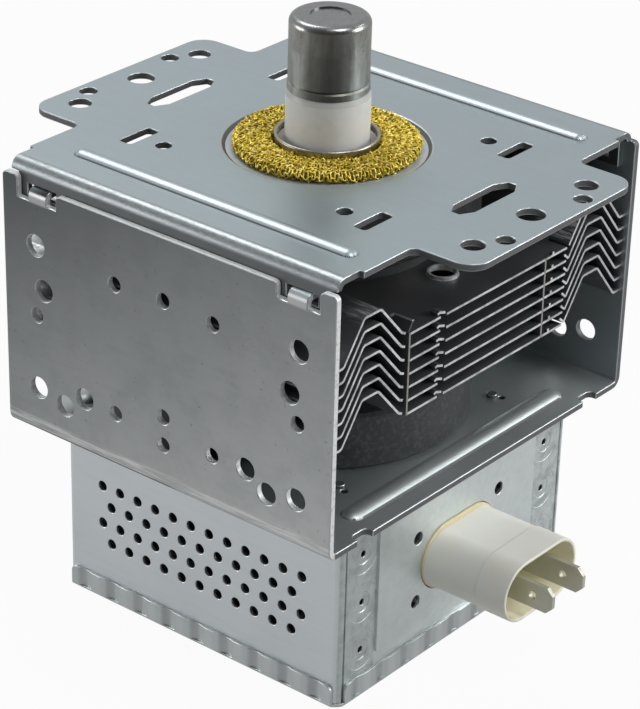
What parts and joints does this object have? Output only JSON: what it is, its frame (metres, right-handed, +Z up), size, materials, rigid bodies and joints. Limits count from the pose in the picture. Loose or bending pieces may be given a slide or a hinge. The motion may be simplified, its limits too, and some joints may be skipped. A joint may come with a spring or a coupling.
{
  "type": "magnetron",
  "caption": "Microwave-oven magnetron: folded steel yoke round ring magnets and cooling fins, antenna on top, filter box with a blade connector below.",
  "frame": {"origin": "on the antenna's axis, at the mounting plate's flat top face, in the middle of its hole patterns", "axes": "+Z up the antenna, +X out of the open side of the yoke above the connector, +Y to the second side plate"},
  "size_m": [0.1021, 0.0816, 0.1067],
  "materials": {
    "plate_steel": "satin zinc",
    "yoke_steel": "satin zinc",
    "box_steel": "satin zinc",
    "cover_steel": "satin zinc",
    "gasket_wire": "knitted wire",
    "magnet_ferrite": "matt",
    "copper": "bare copper",
    "inner_iron": "plain",
    "seal_metal": "bright",
    "white_ceramic": "fired, unglazed",
    "tungsten": "plain",
    "cap_metal": "polished",
    "fin_aluminium": "mill",
    "connector_plastic": "moulded cream",
    "blade_metal": "tin plated",
    "coil_wire": "enamelled copper",
    "core_ferrite": "matt"
  },
  "bodies": {
    "root": {"mounting_plate": "plate_steel", "lower_yoke": "yoke_steel", "rf_gasket": "gasket_wire", "top_magnet": "magnet_ferrite", "bottom_magnet": "magnet_ferrite", "anode_cylinder": "copper", "upper_pole_piece": "inner_iron", "lower_pole_piece": "inner_iron", "strap_rings": "copper", "antenna_seal": "seal_metal", "stem_seal": "seal_metal", "stem_ceramic": "white_ceramic", "cathode_filament": "tungsten", "upper_end_hat": "tungsten", "lower_end_hat": "tungsten", "centre_lead": "tungsten", "side_lead": "tungsten", "output_ceramic": "white_ceramic", "exhaust_seal": "seal_metal", "exhaust_tube": "copper", "antenna_lead": "copper", "antenna_cap": "cap_metal", "filter_box": "box_steel", "filter_box_cover": "cover_steel", "connector_housing": "connector_plastic", "ground_plate": "inner_iron", "blade_terminal_near": "blade_metal", "blade_terminal_far": "blade_metal", "choke_coil_near": "coil_wire", "choke_coil_far": "coil_wire", "ferrite_core_near": "core_ferrite", "ferrite_core_far": "core_ferrite", "cooling_fin_1": "fin_aluminium", "cooling_fin_2": "fin_aluminium", "cooling_fin_3": "fin_aluminium", "cooling_fin_4": "fin_aluminium", "cooling_fin_5": "fin_aluminium", "cooling_fin_6": "fin_aluminium", "cooling_fin_7": "fin_aluminium"}
  },
  "joints": []
}
